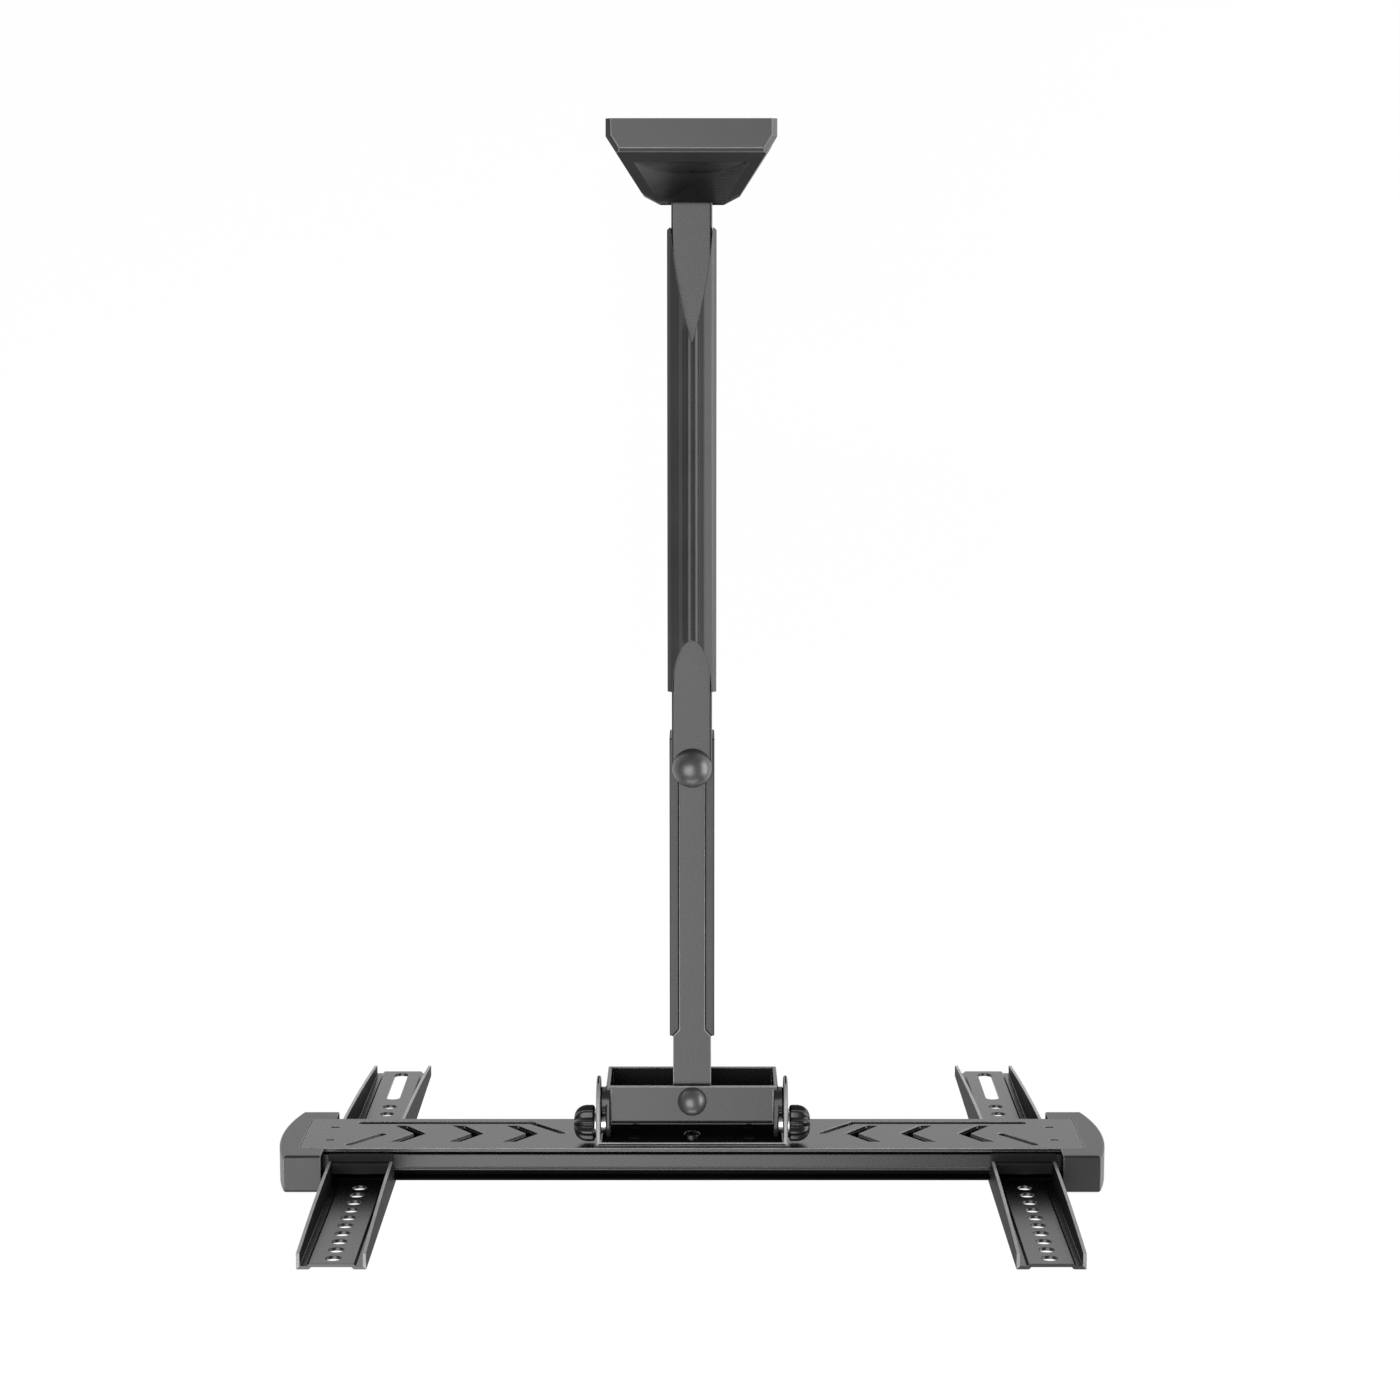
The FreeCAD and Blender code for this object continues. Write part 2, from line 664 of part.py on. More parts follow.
def bar_cut(start, end, width):
    """A round-ended slot through the back face between two (x, z) places."""
    first = point(start[0], -bar_back + past, start[1])
    last = point(end[0], -bar_back + past, end[1])
    run = (last - first).normalize()
    side = run.cross(along_y) * (width / 2)
    depth = bar_skin + past
    slot = prism([first + side, last + side, last - side, first - side], point(0, -depth, 0))
    return slot.fuse([rod(width, place, -along_y, depth) for place in (first, last)]).removeSplitter()


def chevron(place):
    """A V that points to the middle of the bar."""
    half, rise = chevron_width / 2, chevron_height / 2
    corners = [(half, rise), (half - chevron_stroke, rise), (-half, 0), (half - chevron_stroke, -rise),
               (half, -rise), (-half + chevron_stroke, 0)]
    return prism([point(place + x, -bar_back + past, z) for x, z in corners], point(0, -bar_skin - past, 0))


def crossbar():
    """An extrusion with a plain back, a groove and a hook slot along its top and bottom."""
    half = bar_height / 2
    strip = half - strip_drop
    step = strip - step_drop
    lip_top = step - lip_drop / 2
    floor = half - back_groove_depth
    ledge = bar_skin + back_groove
    slot_end = slot_start + slot_width
    slot_floor = step - slot_depth
    outer = [(0, half), (bar_skin, half), (bar_skin, floor), (ledge, floor), (ledge, strip),
             (strip_step, strip), (strip_step + step_drop, step), (slot_start, step),
             (slot_start, slot_floor), (slot_end, slot_floor), (slot_end, lip_top), (bar_depth, lip_top)]
    inner = [(bar_depth, slot_floor - bar_skin), (slot_start - bar_skin, slot_floor - bar_skin),
             (slot_start - bar_skin, step - bar_skin), (ledge + bar_skin, step - bar_skin),
             (ledge + bar_skin, floor - bar_skin), (bar_skin, floor - bar_skin)]
    upper = outer + inner
    section = upper + [(depth, -z) for depth, z in reversed(upper)]
    start = -bar_length / 2
    bar = prism([point(start, -bar_back - depth, z) for depth, z in section], point(bar_length, 0, 0))
    cuts = [chevron(place) for place in chevron_places]
    long_start, long_end = [(x, long_cut_z) for x in long_cut]
    long_slot_cut = bar_cut(long_start, long_end, long_cut_width)
    cuts.append(long_slot_cut.fuse(bar_cut(long_start, inner_cut_end, cut_width)).removeSplitter())
    cuts.append(bar_cut(*outer_cut, cut_width))
    for z in (-clip_span / 2, clip_span / 2):
        cuts.append(box((clip_place - clip_cut[0] / 2, clip_place + clip_cut[0] / 2),
                        (-bar_back + past, -bar_back - bar_skin - past),
                        (z - clip_cut[1] / 2, z + clip_cut[1] / 2)))
    cuts = [cut for right in cuts for cut in both_sides(right, middle_plane)]
    cuts += [rod(rivet + 2 * bolt_gap, place + along_y * past, -along_y, 3 * past)
             for place in rivet_places()]
    cuts.append(rod(level_screw + 2 * bolt_gap, point(0, -bar_back + past, level_screw_z), -along_y,
                    bar_skin + 2 * past))
    return bar.cut(cuts)


def cap_outline(inner_side, inset):
    """The cap seen from behind, with a bowed outer edge, drawn in by an inset."""
    half = cap_height / 2 - inset
    crown = cap_outer - inset
    corner = crown - cap_bulge
    back = -bar_back
    sides = Part.makePolygon([point(corner, back, half), point(inner_side, back, half),
                              point(inner_side, back, -half), point(corner, back, -half)])
    bow = Part.Arc(point(corner, back, -half), point(crown, back, 0), point(corner, back, half)).toShape()
    return Part.Face(Part.Wire(sides.Edges + [bow]))


def end_cap():
    """Right-hand moulded cap: a shell over the bar's end, open at the back where the bar lies flush."""
    back = -bar_back
    cap = cap_outline(cap_inner, 0).extrude(point(0, -cap_depth, 0))
    rims = [edge for edge in flat_edges(cap, "y", back) + flat_edges(cap, "y", back - cap_depth)
            if edge.BoundBox.XMax > cap_inner + 1e-4]
    cap = cap.makeFillet(cap_bevel, rims)
    hollow = cap_outline(cap_inner - past, cap_skin).extrude(point(0, cap_front + cap_skin - cap_depth, 0))
    hollow.translate(point(0, -cap_skin, 0))
    seat_half = bar_height / 2 + cap_fit
    seat = box((cap_inner - past, bar_length / 2 + cap_fit), (back + past, back - bar_depth),
               (-seat_half, seat_half))
    return cap.cut([hollow, seat])


rail_back = bar_back + bar_depth + slide_gap       # wall side of the rail's raised strip
rail_bottom = rail_top - rail_length
rail_holes_top = rail_top - hole_inset


def rail_profile():
    """The rail seen from its side: bowed flanges, a gap for the crossbar and a hook over its lip."""
    half = bar_height / 2
    lip_top = half - strip_drop - step_drop - lip_drop / 2
    hook_roof = lip_top + slide_gap
    front = -rail_back - rail_emboss - rail_sheet - past
    tooth_front = bar_back + slot_start + slot_width - slide_gap * 2
    tooth_back = tooth_front - tooth_width
    above = half + bar_notch
    web = -rail_back

    def bowed(low, high):
        chord = high - low
        sideways = point(0, chord.z, -chord.y).normalize()
        middle = (low + high) * 0.5 + sideways * flange_bow
        return Part.Arc(low, middle, high).toShape()

    upper_low = point(0, web + flange_above_bar, above)
    upper_high = point(0, web + flange_top, rail_top)
    lower_low = point(0, web + flange_bottom, rail_bottom)
    lower_high = point(0, web + flange_below_bar, -above)
    run = [upper_high, point(0, front, rail_top), point(0, front, rail_bottom), lower_low]
    notch = [lower_high, point(0, web, -above), point(0, web, hook_roof), point(0, -tooth_front, hook_roof),
             point(0, -tooth_front, hook_roof - tooth_depth), point(0, -tooth_back, hook_roof - tooth_depth),
             point(0, -tooth_back, above), upper_low]
    edges = Part.makePolygon(run).Edges + [bowed(lower_low, lower_high)]
    edges += Part.makePolygon(notch).Edges + [bowed(upper_low, upper_high)]
    return Part.Face(Part.Wire(Part.__sortEdges__(edges)))


def rail():
    """Right-hand rail: a channel with a raised strip of screen holes."""
    centre = vesa_width / 2
    half, strip = rail_width / 2, rail_strip / 2
    tip = -bar_back
    band = -rail_back - rail_emboss
    web = -rail_back
    right_front = [(strip - rail_emboss, web - rail_sheet), (strip, band - rail_sheet),
                   (half, band - rail_sheet), (half, tip)]
    right_back = [(half - rail_sheet, tip), (half - rail_sheet, band), (strip + rail_emboss, band),
                  (strip, web)]
    right = right_front + right_back
    left = [(-x, y) for x, y in reversed(right)]
    channel = prism([point(centre + x, y, rail_bottom) for x, y in right + left], point(0, 0, rail_length))
    profile = rail_profile().extrude(point(rail_width + 2 * past, 0, 0))
    profile.translate(point(centre - half - past, 0, 0))
    channel = channel.common(profile)
    places = [rail_holes_top - upper_hole_pitch * row for row in range(upper_hole_count)]
    places += [rail_holes_top - lower_hole_drop - lower_hole_pitch * row for row in range(lower_hole_count)]
    depth = rail_sheet + rail_emboss + 2 * past
    start = point(centre, -rail_back + past, 0)
    holes = [rod(screen_hole, start + along_z * z, -along_y, depth) for z in places]
    low = rail_bottom + hole_inset
    high = low + long_slot - screen_hole
    slot_half = screen_hole / 2
    slot_box = box((centre - slot_half, centre + slot_half), (start.y, start.y - depth), (low, high))
    holes.append(slot_box.fuse([rod(screen_hole, start + along_z * z, -along_y, depth) for z in (low, high)]))
    holes += [rod(rivet + 2 * bolt_gap, place + along_y * past, -along_y, depth)
              for place in lock_rivet_places()]
    return channel.cut(holes)


lock_top = -(bar_height / 2 + slide_gap)


def lock_rivet_places():
    z = lock_top - rail_sheet - lock_leg / 2
    centre = vesa_width / 2
    return [point(x, -rail_back + rail_sheet, z)
            for x in (centre - lock_rivet_span / 2, centre + lock_rivet_span / 2)]


def lock_screw_place():
    return point(vesa_width / 2, -bar_back - slot_start - slot_width / 2, lock_top)


def lock_bracket():
    """Right-hand angle under the crossbar, which carries the lock screw."""
    centre, half = vesa_width / 2, lock_width / 2
    sides = (centre - half, centre + half)
    leg = box(sides, (-rail_back, -rail_back + rail_sheet), (lock_top, lock_top - rail_sheet - lock_leg))
    shelf = box(sides, (-rail_back, -bar_back - strip_step), (lock_top, lock_top - rail_sheet))
    holes = [rod(rivet + 2 * bolt_gap, place + along_y * past, -along_y, 3 * past)
             for place in lock_rivet_places()]
    holes.append(rod(lock_screw + 2 * running_gap, lock_screw_place() + along_z * past, -along_z, 3 * past))
    room = lock_head / 2 + lock_head_room
    holes.append(box((centre - room, centre + room), (-rail_back - past, -rail_back + rail_sheet + past),
                     (lock_top - rail_sheet, lock_top - rail_sheet - lock_leg - past)))
    return leg.fuse(shelf).removeSplitter().cut(holes)


def lock_rivets():
    grip = 2 * rail_sheet
    rivets = []
    for place in lock_rivet_places():
        head = rod(rivet_head, place, along_y, rivet_head_height)
        rivets.append(rod(rivet, place, -along_y, grip).fuse(head).removeSplitter())
    return Part.makeCompound(rivets)


def lock_screw_solid():
    """Right-hand thumb screw, up into the crossbar's lower slot."""
    place = lock_screw_place()
    under = place - along_z * rail_sheet
    shank = rod(lock_screw, under, along_z, rail_sheet + slide_gap + slot_depth / 2)
    head = rod(lock_head, under, -along_z, lock_head_height)
    head = head.makeFillet(lock_head_round, flat_edges(head, "z", under.z - lock_head_height))
    return shank.fuse(head).removeSplitter()


def slide_pad():
    """Right-hand pad between the rail's flanges and the crossbar's top, with a plug up between them."""
    centre, half = vesa_width / 2, rail_width / 2
    rear = -bar_back - slide_pad_rear
    base_top = bar_height / 2 + bar_notch
    base = box((centre - half, centre + half), (rear, rear - slide_pad_depth),
               (bar_height / 2 - strip_drop + slide_gap, base_top))
    plug_half = half - rail_sheet - slide_pad_fit
    front = rear - slide_pad_depth
    plug = box((centre - plug_half, centre + plug_half), (front, front + slide_pad_plug_depth),
               (base_top, base_top + slide_pad_plug))
    return base.fuse(plug).removeSplitter()


def build():
    upper_cover = upper_wall_cover()
    arm_cover = rear_arm_cover()
    hinge_top, rear_top, bracket_top = hinge_height / 2, rear_height / 2, bracket_height / 2
    front_top = front_height / 2
    front_barrel = front_plate + rebate_depth
    nodes = {
        "wall_plate": wall_plate(),
        "wall_hinge_bracket": wall_hinge_bracket(),
        "upper_wall_cover": upper_cover,
        "lower_wall_cover": mirrored(upper_cover, arm_plane),
        "wall_pivot_bolt": bolt(arm_bolt, wall_head, wall_head_height, hinge_top, wall_pivot),
        "wall_pivot_nut": lock_nut(arm_bolt, hinge_top, wall_pivot),
        "wall_pivot_bushes": bushes(arm_bolt, fork_plate, wall_bush_flange, rear_top, wall_pivot),
        "rear_arm_tube": rear_arm_tube(),
        "rear_arm_upper_cover": arm_cover,
        "rear_arm_lower_cover": mirrored(arm_cover, arm_plane),
        "elbow_bolt": bolt(arm_bolt, elbow_head, elbow_head_height, rear_top, elbow_pivot),
        "elbow_nut": lock_nut(arm_bolt, rear_top, elbow_pivot),
        "elbow_cap": dome_cap(elbow_dome, elbow_dome_height, elbow_head, elbow_head_height, rear_top,
                              elbow_pivot),
        "elbow_bushes": bushes(arm_bolt, front_barrel, bush_flange, front_top, elbow_pivot),
        "front_arm_tube": front_arm_tube(),
        "head_bushes": bushes(head_bolt, front_barrel, bush_flange, front_top, head_pivot),
        "swivel_bracket": swivel_bracket(),
        "head_bolt": bolt(head_bolt, pivot_head, pivot_head_height, bracket_top, head_pivot),
        "head_nut": lock_nut(head_bolt, bracket_top, head_pivot),
        "head_cap": dome_cap(pivot_dome, pivot_dome_height, pivot_head, pivot_head_height, bracket_top,
                             head_pivot),
        "tilt_bracket": tilt_bracket(),
        "bracket_rivets": bracket_rivets(),
        "level_screw": level_screw_solid(),
        "level_nut": level_nut(),
        "crossbar": crossbar(),
    }
    paired = {
        "front_arm_trim": front_arm_trim(),
        "tilt_stud": tilt_stud(),
        "tilt_spacer": tilt_spacer(),
        "knob_washer": knob_washer(),
        "tilt_knob": tilt_knob(),
        "end_cap": end_cap(),
        "rail": rail(),
        "lock_bracket": lock_bracket(),
        "lock_rivets": lock_rivets(),
        "lock_screw": lock_screw_solid(),
        "slide_pad": slide_pad(),
    }
    for name, shape in paired.items():
        nodes["right_" + name] = shape
        nodes["left_" + name] = mirrored(shape, middle_plane)
    return nodes


os.makedirs("parts", exist_ok=True)
for name, shape in build().items():
    state = "valid" if shape.isValid() else "BAD"
    print(name, len(shape.Solids), "solids", round(shape.Volume), "mm3", state)
    shape.exportStep(os.path.join("parts", name + ".step"))
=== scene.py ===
import bpy
import json
import math
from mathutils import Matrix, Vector


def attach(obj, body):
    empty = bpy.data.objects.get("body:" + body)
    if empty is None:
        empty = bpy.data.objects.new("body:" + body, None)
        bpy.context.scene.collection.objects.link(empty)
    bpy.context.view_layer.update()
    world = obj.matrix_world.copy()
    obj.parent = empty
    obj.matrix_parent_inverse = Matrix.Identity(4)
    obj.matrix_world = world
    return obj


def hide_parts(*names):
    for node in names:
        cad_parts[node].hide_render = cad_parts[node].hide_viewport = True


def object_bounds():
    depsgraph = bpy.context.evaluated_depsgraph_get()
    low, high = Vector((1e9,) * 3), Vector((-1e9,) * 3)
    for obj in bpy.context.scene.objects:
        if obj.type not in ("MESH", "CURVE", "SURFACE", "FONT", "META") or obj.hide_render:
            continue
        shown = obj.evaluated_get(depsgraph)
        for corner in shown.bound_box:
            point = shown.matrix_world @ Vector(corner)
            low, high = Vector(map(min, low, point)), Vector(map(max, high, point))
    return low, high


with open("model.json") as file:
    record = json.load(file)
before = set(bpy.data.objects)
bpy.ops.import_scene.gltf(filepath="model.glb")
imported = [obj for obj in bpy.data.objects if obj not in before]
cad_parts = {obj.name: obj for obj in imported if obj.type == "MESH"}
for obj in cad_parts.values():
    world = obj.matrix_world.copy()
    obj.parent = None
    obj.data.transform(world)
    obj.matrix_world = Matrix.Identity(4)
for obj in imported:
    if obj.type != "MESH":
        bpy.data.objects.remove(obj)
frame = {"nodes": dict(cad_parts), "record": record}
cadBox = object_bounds()
scene = bpy.context.scene
scene.view_settings.view_transform = "Standard"
mm = 0.001
nodeBody = {node: body for body, nodes in frame["record"]["behaviour"]["bodies"].items() for node in nodes}
nodeSlot = {part["node"]: part["material_slot"] for part in frame["record"]["subparts"]}
print("frame loaded:", len(nodeBody), "nodes")


def linear(hexColour):
    # sRGB hex to the linear colour that Blender's sockets take
    channels = [int(hexColour[i:i + 2], 16) / 255 for i in (1, 3, 5)]
    return [c / 12.92 if c <= 0.04045 else ((c + 0.055) / 1.055) ** 2.4 for c in channels] + [1.0]


def addNode(tree, kind, settings=None, inputs=None):
    # one node: attributes in settings, sockets in inputs, where a socket's value is a number or an output
    node = tree.nodes.new(kind)
    for name, value in (settings or {}).items():
        setattr(node, name, value)
    for name, value in (inputs or {}).items():
        if isinstance(value, bpy.types.NodeSocket):
            tree.links.new(value, node.inputs[name])
        else:
            node.inputs[name].default_value = value
    return node


def newMaterial(name):
    material = bpy.data.materials.new(name)
    material.use_nodes = True
    tree = material.node_tree
    tree.nodes.clear()
    return material, tree


noiseSpan = (0.3, 0.7)  # most of a noise's values lie between these


def coated(name, look):
    # colour with a soft drift, and a grain in the roughness and the bump
    material, tree = newMaterial(name)
    place = addNode(tree, "ShaderNodeTexCoord").outputs["Object"]
    drift = addNode(tree, "ShaderNodeTexNoise", None,
                    {"Vector": place, "Scale": 1 / (look["drift"] * mm), "Detail": 3.0})
    grain = addNode(tree, "ShaderNodeTexNoise", None,
                    {"Vector": place, "Scale": 1 / (look["grain"] * mm), "Detail": 2.0, "Roughness": 0.6})
    ramp = addNode(tree, "ShaderNodeValToRGB", None, {"Fac": drift.outputs["Fac"]})
    for i, tone in enumerate(("dark", "light")):
        ramp.color_ramp.elements[i].position = noiseSpan[i]
        ramp.color_ramp.elements[i].color = linear(look[tone])
    rough = addNode(tree, "ShaderNodeMapRange", None,
                    {"Value": grain.outputs["Fac"], "From Min": noiseSpan[0], "From Max": noiseSpan[1],
                     "To Min": look["roughness"][0], "To Max": look["roughness"][1]})
    bump = addNode(tree, "ShaderNodeBump", None,
                   {"Height": grain.outputs["Fac"], "Strength": look["strength"],
                    "Distance": look["height"] * mm})
    shader = addNode(tree, "ShaderNodeBsdfPrincipled", None,
                     {"Base Color": ramp.outputs["Color"], "Roughness": rough.outputs["Result"],
                      "Normal": bump.outputs["Normal"], "Metallic": look.get("metallic", 0.0),
                      "Specular IOR Level": look.get("specular", 0.5)})
    if "ior" in look:
        shader.inputs["IOR"].default_value = look["ior"]
    addNode(tree, "ShaderNodeOutputMaterial", None, {"Surface": shader.outputs["BSDF"]})
    return material


# in a look, drift, grain and height are in mm
# semi-gloss polyester powder coat on steel: near black, with a fine orange peel that softens the softbox
satinPowderCoat = coated("satinPowderCoatedSteel", {
    "dark": "#191919", "light": "#212121", "drift": 60, "grain": 1.4, "roughness": (0.26, 0.29),
    "strength": 0.012, "height": 0.04, "ior": 1.5})
railPowderCoat = coated("satinPowderCoatedRail", {
    "dark": "#1e1e1e", "light": "#262626", "drift": 60, "grain": 1.4, "roughness": (0.26, 0.29),
    "strength": 0.012, "height": 0.04, "ior": 1.5, "specular": 0.62})
# powder that lands dry on the rails' steep flanges: rougher and duller than on the web
flangePowderCoat = coated("dryPowderCoatedFlange", {
    "dark": "#1e1e1e", "light": "#262626", "drift": 60, "grain": 1.2, "roughness": (0.5, 0.6),
    "strength": 0.1, "height": 0.05, "ior": 1.5, "specular": 0.05})
# a darker matt black that takes almost no shine: painted shade on the tilt bracket and its rivets under the
# swivel bracket, and in the crossbar's recesses
mattCoatPaintedShade = coated("mattCoatedSteelPaintedShade", {
    "dark": "#161616", "light": "#1c1c1c", "drift": 40, "grain": 1.1, "roughness": (0.55, 0.65),
    "strength": 0.15, "height": 0.05, "ior": 1.5, "specular": 0.0})
# the powder draws thin over a cut or folded edge; that edge's pale colour is a painted highlight
thinCoatPaintedHighlight = coated("thinCoatEdgePaintedHighlight", {
    "dark": "#7e7e7e", "light": "#949494", "drift": 12, "grain": 1.0, "roughness": (0.24, 0.34),
    "strength": 0.1, "height": 0.03, "ior": 1.5})
# moulded ABS with a spark-eroded tool finish: a tight grain, drawn coarse enough to show
sparkAbs = coated("sparkTexturedAbs", {
    "dark": "#242424", "light": "#2d2d2d", "drift": 45, "grain": 0.9, "roughness": (0.32, 0.4),
    "strength": 0.25, "height": 0.05, "ior": 1.53})
# a deeper spark texture, a shade darker and with nearly no shine: painted shade on the wall covers' front
# slope and on the arm trims' broken edges beside their seams
drySparkAbsPaintedShade = coated("coarseSparkAbsPaintedShade", {
    "dark": "#222222", "light": "#2a2a2a", "drift": 45, "grain": 1.3, "roughness": (0.55, 0.65),
    "strength": 0.3, "height": 0.08, "ior": 1.53, "specular": 0.05})
# the spark texture runs out at the tool's edges, which stay smooth; their pale colour is a painted highlight
smoothAbsEdgePaintedHighlight = coated("smoothAbsEdgePaintedHighlight", {
    "dark": "#606060", "light": "#727272", "drift": 12, "grain": 1.0, "roughness": (0.26, 0.34),
    "strength": 0.1, "height": 0.03, "ior": 1.53})
# the end caps' and arm trims' finer spark texture: a shade duller than the coated steel beside them
endCapAbs = coated("fineSparkAbs", {
    "dark": "#1f1f1f", "light": "#272727", "drift": 45, "grain": 0.9, "roughness": (0.32, 0.4),
    "strength": 0.2, "height": 0.05, "ior": 1.53, "specular": 0.42})
# satin-tool ABS: the domed caps carry one broad, soft highlight
capAbs = coated("satinAbs", {
    "dark": "#333333", "light": "#3d3d3d", "drift": 30, "grain": 2.0, "roughness": (0.36, 0.42),
    "strength": 0.04, "height": 0.03, "ior": 1.53, "specular": 1.0})
# glass-filled nylon: black, slightly mottled, with small sharp glints on its lobes
knobNylon = coated("glassFilledNylon", {
    "dark": "#0b0b0b", "light": "#131313", "drift": 8, "grain": 0.7, "roughness": (0.24, 0.34),
    "strength": 0.2, "height": 0.05, "ior": 1.53})
# acetal, turned or moulded: black and waxy
bushNylon = coated("mouldedAcetal", {
    "dark": "#0f0f0f", "light": "#151515", "drift": 12, "grain": 1.0, "roughness": (0.45, 0.55),
    "strength": 0.1, "height": 0.03, "ior": 1.48, "specular": 0.25})
# bright zinc plate: pale metal with a crystalline mottle
zincPlate = coated("brightZincPlate", {
    "dark": "#b4b6b6", "light": "#d0d1cf", "drift": 4, "grain": 0.8, "roughness": (0.22, 0.36),
    "strength": 0.1, "height": 0.03, "metallic": 1.0})
# black oxide on steel: dark metal with an oily sheen
blackOxide = coated("blackOxideSteel", {
    "dark": "#2a2a2b", "light": "#38383a", "drift": 5, "grain": 0.8, "roughness": (0.26, 0.38),
    "strength": 0.1, "height": 0.03, "metallic": 1.0})

# the material of a piece, that of its broken edges, on most a pale painted highlight, and on some a third for
# their dull areas, which on the crossbar and the wall covers is painted shade
slotMaterials = {
    "powder_coated_steel": (satinPowderCoat, thinCoatPaintedHighlight),
    "rail_steel": (railPowderCoat, thinCoatPaintedHighlight),
    "moulded_abs": (sparkAbs, smoothAbsEdgePaintedHighlight),
    "cap_abs": (capAbs, capAbs),
    "knob_nylon": (knobNylon, knobNylon),
    "nylon": (bushNylon, bushNylon),
    "zinc_plated_steel": (zincPlate, zincPlate),
    "black_steel": (blackOxide, blackOxide)}
nodeMaterials = {node: slotMaterials[slot] for node, slot in nodeSlot.items()}
# painted shade: the tilt bracket, under the swivel bracket, and its rivets take the darker matt coat
nodeMaterials["tilt_bracket"] = (mattCoatPaintedShade, thinCoatPaintedHighlight)
nodeMaterials["bracket_rivets"] = (mattCoatPaintedShade, mattCoatPaintedShade)
nodeMaterials["wall_hinge_bracket"] = (satinPowderCoat, satinPowderCoat)
# painted shade: the wall covers' third material darkens their front slope
nodeMaterials["upper_wall_cover"] = nodeMaterials["lower_wall_cover"] = (sparkAbs, smoothAbsEdgePaintedHighlight, drySparkAbsPaintedShade)
nodeMaterials["rear_arm_upper_cover"] = nodeMaterials["rear_arm_lower_cover"] = (sparkAbs, sparkAbs)
nodeMaterials["left_end_cap"] = nodeMaterials["right_end_cap"] = (endCapAbs, smoothAbsEdgePaintedHighlight)
# painted shade: the arm trims' broken edges take the darker, shineless spark ABS for the seams beside them
nodeMaterials["left_front_arm_trim"] = nodeMaterials["right_front_arm_trim"] = (endCapAbs, drySparkAbsPaintedShade)
# painted shade: the crossbar's recesses take its third material, the darker matt coat
nodeMaterials["crossbar"] = (satinPowderCoat, thinCoatPaintedHighlight, mattCoatPaintedShade)
nodeMaterials["left_rail"] = nodeMaterials["right_rail"] = (railPowderCoat, thinCoatPaintedHighlight, flangePowderCoat)
print("materials:", len(bpy.data.materials))


def takeUp(piece):
    bpy.ops.object.select_all(action="DESELECT")
    piece.select_set(True)
    bpy.context.view_layer.objects.active = piece


def applyModifier(piece, kind, settings):
    modifier = piece.modifiers.new(kind.lower(), kind)
    for name, value in settings.items():
        setattr(modifier, name, value)
    bpy.ops.object.modifier_apply(modifier=modifier.name)


def nodeBox(node):
    # a CAD node's low and high corners in mm
    corners = [corner.co / mm for corner in frame["nodes"][node].data.vertices]
    return [Vector([pick(corner[i] for corner in corners) for i in range(3)]) for pick in (min, max)]


def dress(piece, node):
    piece.data.materials.clear()
    for material in nodeMaterials[node]:
        piece.data.materials.append(material)


shading = {"crease": 30, "weight": 80, "rim": 50}  # crease and rim are angles in degrees


def settle(piece, node, crease=shading["crease"]):
    # smooth faces, the node's materials, and the place of the node that the piece stands for
    takeUp(piece)
    bpy.ops.object.shade_smooth_by_angle(angle=math.radians(crease))
    applyModifier(piece, "WEIGHTED_NORMAL", {"keep_sharp": True, "weight": shading["weight"]})
    dress(piece, node)
    piece.name = piece.data.name = node + "_finished"
    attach(piece, nodeBody[node])
    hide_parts(node)


# width of the broken edge in mm, by node; others take the plain width
edgeWidths = {
    "plain": 0.4, "crossbar": 0.55, "swivel_bracket": 0.7, "tilt_bracket": 0.8,
    "rear_arm_tube": 0.6, "front_arm_tube": 0.5, "wall_hinge_bracket": 0.6,
    "upper_wall_cover": 0.3, "lower_wall_cover": 0.3,
    "rear_arm_upper_cover": 0.25, "rear_arm_lower_cover": 0.25,
    "left_front_arm_trim": 0.65, "right_front_arm_trim": 0.65,
    "left_end_cap": 0.5, "right_end_cap": 0.5, "left_rail": 0.2, "right_rail": 0.2,
    "level_screw": 0.2, "level_nut": 0.25, "left_knob_washer": 0.2, "right_knob_washer": 0.2,
    "bracket_rivets": 0.65, "left_lock_rivets": 0.65, "right_lock_rivets": 0.65}
# merge and sliver in mm, flat, sharp and crease in degrees; the slid pieces' broken edges follow their
# neighbours' edges
edgeFinish = {"merge": 0.002, "flat": 0.5, "sliver": 0.002, "sharp": 25, "segments": 2, "crease": 20,
              "slid": ("left_rail", "right_rail")}
# a flat where cuts run close together: its depth from the piece's back in mm, and the share of the
# edge's width that it takes
narrowFlats = {"crossbar": {"depth": 2.2, "share": 0.36, "near": 0.05}}


def edgeTurns(mesh):
    # each edge's two faces, and the angle between them in degrees
    sides = {}
    for face in mesh.polygons:
        for edge in face.edge_keys:
            sides.setdefault(edge, []).append(face)
    return {edge: (pair, math.degrees(pair[0].normal.angle(pair[1].normal, 0)))
            for edge, pair in sides.items() if len(pair) == 2}


def weighEdges(piece, node):
    # full weight on each sharp edge, less on the narrow flat, so that its broken edges don't meet
    mesh, narrow = piece.data, narrowFlats[node]
    flatPlace = nodeBox(node)[1].y - narrow["depth"]
    turns = edgeTurns(mesh)
    weights = mesh.attributes.new("bevel_weight_edge", "FLOAT", "EDGE")
    for edge in mesh.edges:
        if edge.key in turns and turns[edge.key][1] > edgeFinish["sharp"]:
            onFlat = all(abs(mesh.vertices[i].co.y / mm - flatPlace) < narrow["near"] for i in edge.vertices)
            weights.data[edge.index].value = narrow["share"] if onFlat else 1.0


def levelFlats(piece):
    # a plane's faces keep the plane's own normal, so that no thin triangle shades as a line
    mesh = piece.data
    curved = set()
    for (first, second), turn in edgeTurns(mesh).values():
        broken = 1 in (first.material_index, second.material_index)
        if not broken and edgeFinish["flat"] < turn < edgeFinish["crease"]:
            curved.update((first.index, second.index))
    normals = [corner.vector.copy() for corner in mesh.corner_normals]
    for face in mesh.polygons:
        if face.material_index != 1 and face.index not in curved and face.area > 0:
            for corner in face.loop_indices:
                normals[corner] = face.normal.copy()
    mesh.normals_split_custom_set(normals)


